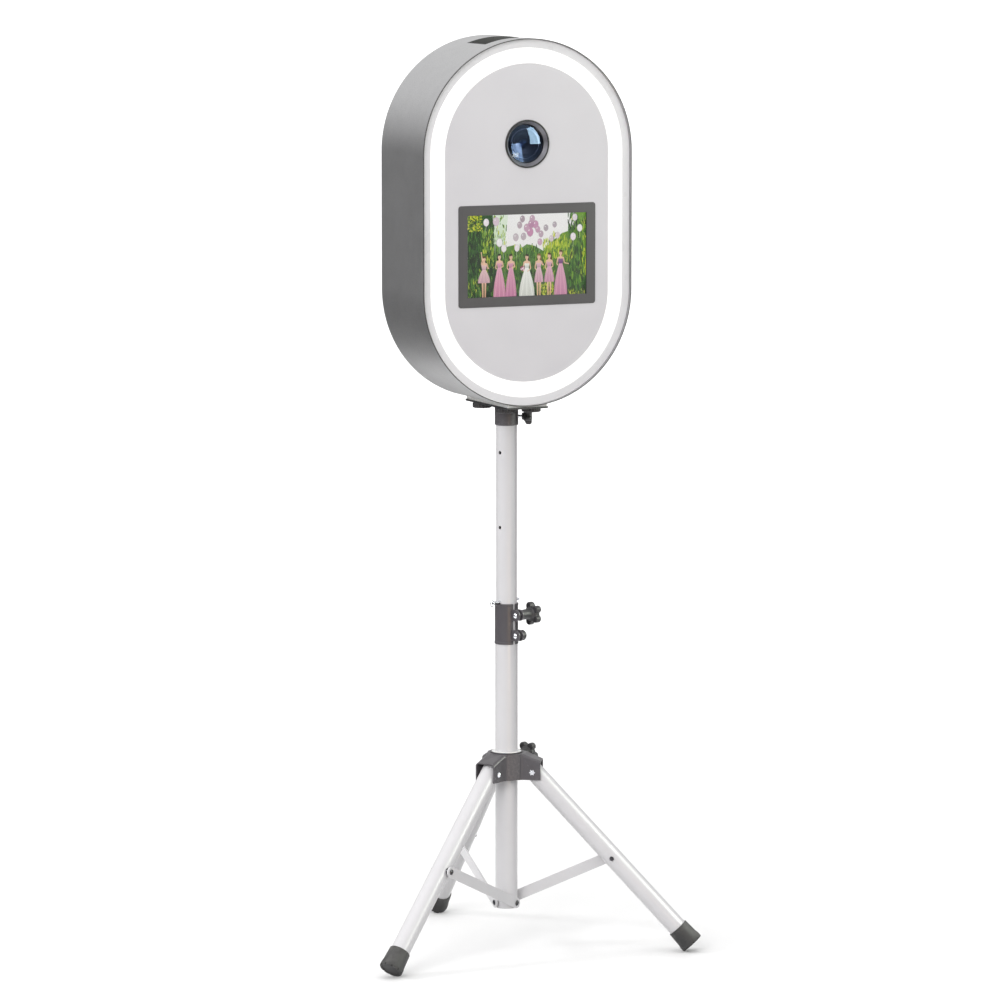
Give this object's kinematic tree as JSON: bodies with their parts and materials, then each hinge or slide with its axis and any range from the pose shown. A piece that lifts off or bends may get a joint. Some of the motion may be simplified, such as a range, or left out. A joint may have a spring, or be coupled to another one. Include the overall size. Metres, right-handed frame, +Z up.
{
  "type": "photo booth",
  "caption": "Oval selfie booth head with a ring light, camera lens and display on a telescopic mast and folding tripod.",
  "frame": {"origin": "on the floor, on the mast's axis", "axes": "+Z up along the mast; the head's front faces -Y; +X is to the right of someone who looks at the front"},
  "size_m": [0.5805, 0.5177, 1.5399],
  "materials": {
    "white_coat": "satin powder coat",
    "dark_coat": "satin powder coat",
    "black_coat": "satin powder coat",
    "chrome_plate": "bright plated",
    "black_plastic": "fine moulded texture",
    "hub_nylon": "moulded nylon",
    "foot_rubber": "matte",
    "shell_metal": "fine-grained metallic",
    "panel_acrylic": "silk printed acrylic",
    "rim_acrylic": "silk printed acrylic",
    "diffuser_opal": "opal, lit from behind",
    "zinc_sheet": "zinc plated",
    "circuit_strip": "white solder mask",
    "bezel_plastic": "satin",
    "screen_glass": "clear cover glass",
    "screen_image": "lit display",
    "lens_black": "matt anodised",
    "lens_glass": "coated",
    "camera_plastic": "moulded",
    "unit_case": "fine texture",
    "switch_red": "moulded"
  },
  "bodies": {
    "base": {"lower_tube": "white_coat", "tube_rivets": "chrome_plate", "clamp_collar": "dark_coat", "clamp_bolts": "chrome_plate", "clamp_nut": "black_plastic"},
    "clamp_knob": {"clamp_knob": "black_plastic"},
    "hub": {"hub": "dark_coat", "hub_bush": "hub_nylon", "leg_pivot_bolts": "chrome_plate"},
    "hub_knob": {"hub_knob": "black_plastic"},
    "leg_1": {"leg_1": "white_coat", "foot_1": "foot_rubber", "brace_bolt_1": "chrome_plate"},
    "leg_2": {"leg_2": "white_coat", "foot_2": "foot_rubber", "brace_bolt_2": "chrome_plate"},
    "leg_3": {"leg_3": "white_coat", "foot_3": "foot_rubber", "brace_bolt_3": "chrome_plate"},
    "brace_1": {"brace_1": "white_coat", "brace_rivet_1": "chrome_plate"},
    "brace_2": {"brace_2": "white_coat", "brace_rivet_2": "chrome_plate"},
    "brace_3": {"brace_3": "white_coat", "brace_rivet_3": "chrome_plate"},
    "mast": {"upper_tube": "white_coat", "guide_plug": "black_plastic"},
    "safety_pin": {"safety_pin": "chrome_plate"},
    "head": {"head_socket": "dark_coat", "mount_plate": "black_coat", "saddle_pad": "foot_rubber", "plate_knobs": "black_plastic", "shell": "shell_metal", "door_flange": "zinc_sheet", "carry_recess": "black_plastic", "front_rim": "rim_acrylic", "front_panel": "panel_acrylic", "led_diffuser": "diffuser_opal", "led_tray": "zinc_sheet", "led_strip": "circuit_strip", "display_bezel": "bezel_plastic", "display_glass": "screen_glass", "display_panel": "screen_image", "display_housing": "black_plastic", "display_straps": "zinc_sheet", "lens_bezel": "black_plastic", "lens_barrel": "lens_black", "lens_front_glass": "lens_glass", "lens_iris": "lens_black", "camera_body": "camera_plastic", "camera_shelf": "zinc_sheet", "control_unit": "unit_case", "power_supply": "zinc_sheet", "door_hinges": "zinc_sheet", "door_gasket": "foot_rubber"},
    "socket_knob": {"socket_knob": "black_plastic"},
    "rear_door": {"rear_door": "shell_metal", "power_inlet": "black_plastic"},
    "door_lock": {"door_lock": "zinc_sheet"},
    "power_switch": {"power_switch": "switch_red"}
  },
  "joints": [
    {"name": "hub_slide", "type": "slide", "parent": "base", "child": "hub", "axis": [0, 0, 1], "range_m": [0, 0.1648]},
    {"name": "leg_1_fold", "type": "hinge", "parent": "hub", "child": "leg_1", "pos_m": [-0.04062, -0.0216, 0.30319], "axis": [0.4695, -0.8829, 0], "range_deg": [0, 43]},
    {"name": "leg_2_fold", "type": "hinge", "parent": "hub", "child": "leg_2", "pos_m": [0.03901, -0.02438, 0.30319], "axis": [0.5299, 0.848, 0], "range_deg": [0, 43]},
    {"name": "leg_3_fold", "type": "hinge", "parent": "hub", "child": "leg_3", "pos_m": [0.00161, 0.04597, 0.30319], "axis": [-0.9994, 0.0349, 0], "range_deg": [0, 43]},
    {"name": "brace_1_fold", "type": "hinge", "parent": "base", "child": "brace_1", "pos_m": [0.00906, -0.01704, 0.077], "axis": [-0.4695, 0.8829, 0], "range_deg": [0, 52.39]},
    {"name": "brace_2_fold", "type": "hinge", "parent": "base", "child": "brace_2", "pos_m": [0.01023, 0.01637, 0.077], "axis": [-0.5299, -0.848, 0], "range_deg": [0, 52.39]},
    {"name": "brace_3_fold", "type": "hinge", "parent": "base", "child": "brace_3", "pos_m": [-0.01929, 0.00067, 0.077], "axis": [0.9994, -0.0349, 0], "range_deg": [0, 52.39]},
    {"name": "mast_slide", "type": "slide", "parent": "base", "child": "mast", "axis": [0, 0, 1], "range_m": [0, 0.253]},
    {"name": "head_swivel", "type": "hinge", "parent": "mast", "child": "head", "pos_m": [0, 0, 0.92537], "axis": [0, 0, 1], "continuous": true},
    {"name": "pin_pull", "type": "slide", "parent": "mast", "child": "safety_pin", "axis": [-0.9026, -0.4305, 0], "range_m": [0, 0.07]},
    {"name": "clamp_knob_turn", "type": "hinge", "parent": "base", "child": "clamp_knob", "pos_m": [0.03734, -0.01784, 0.5705], "axis": [0.9511, 0.309, 0], "range_deg": [0, 360]},
    {"name": "hub_knob_turn", "type": "hinge", "parent": "hub", "child": "hub_knob", "pos_m": [0.05298, 0.02817, 0.32519], "axis": [0.8829, 0.4695, 0], "range_deg": [0, 360]},
    {"name": "socket_knob_turn", "type": "hinge", "parent": "head", "child": "socket_knob", "pos_m": [0.03061, -0.01697, 0.90537], "axis": [0.8746, -0.4848, 0], "range_deg": [0, 360]},
    {"name": "door_swing", "type": "hinge", "parent": "head", "child": "rear_door", "pos_m": [0.1836, 0.089, 1.23487], "axis": [0, 0, -1], "range_deg": [0, 110]},
    {"name": "lock_turn", "type": "hinge", "parent": "rear_door", "child": "door_lock", "pos_m": [-0.15, 0.086, 1.23487], "axis": [0, -1, 0], "range_deg": [0, 90]},
    {"name": "switch_rock", "type": "hinge", "parent": "rear_door", "child": "power_switch", "pos_m": [0.015, 0.0865, 1.00387], "axis": [-1, 0, 0], "range_deg": [0, 16]}
  ],
  "couplings": [
    {"joint": "leg_1_fold", "follows": "hub_slide", "rad_per_m": 4.5539},
    {"joint": "leg_2_fold", "follows": "hub_slide", "rad_per_m": 4.5539},
    {"joint": "leg_3_fold", "follows": "hub_slide", "rad_per_m": 4.5539},
    {"joint": "brace_1_fold", "follows": "hub_slide", "rad_per_m": 5.5489},
    {"joint": "brace_2_fold", "follows": "hub_slide", "rad_per_m": 5.5489},
    {"joint": "brace_3_fold", "follows": "hub_slide", "rad_per_m": 5.5489}
  ]
}
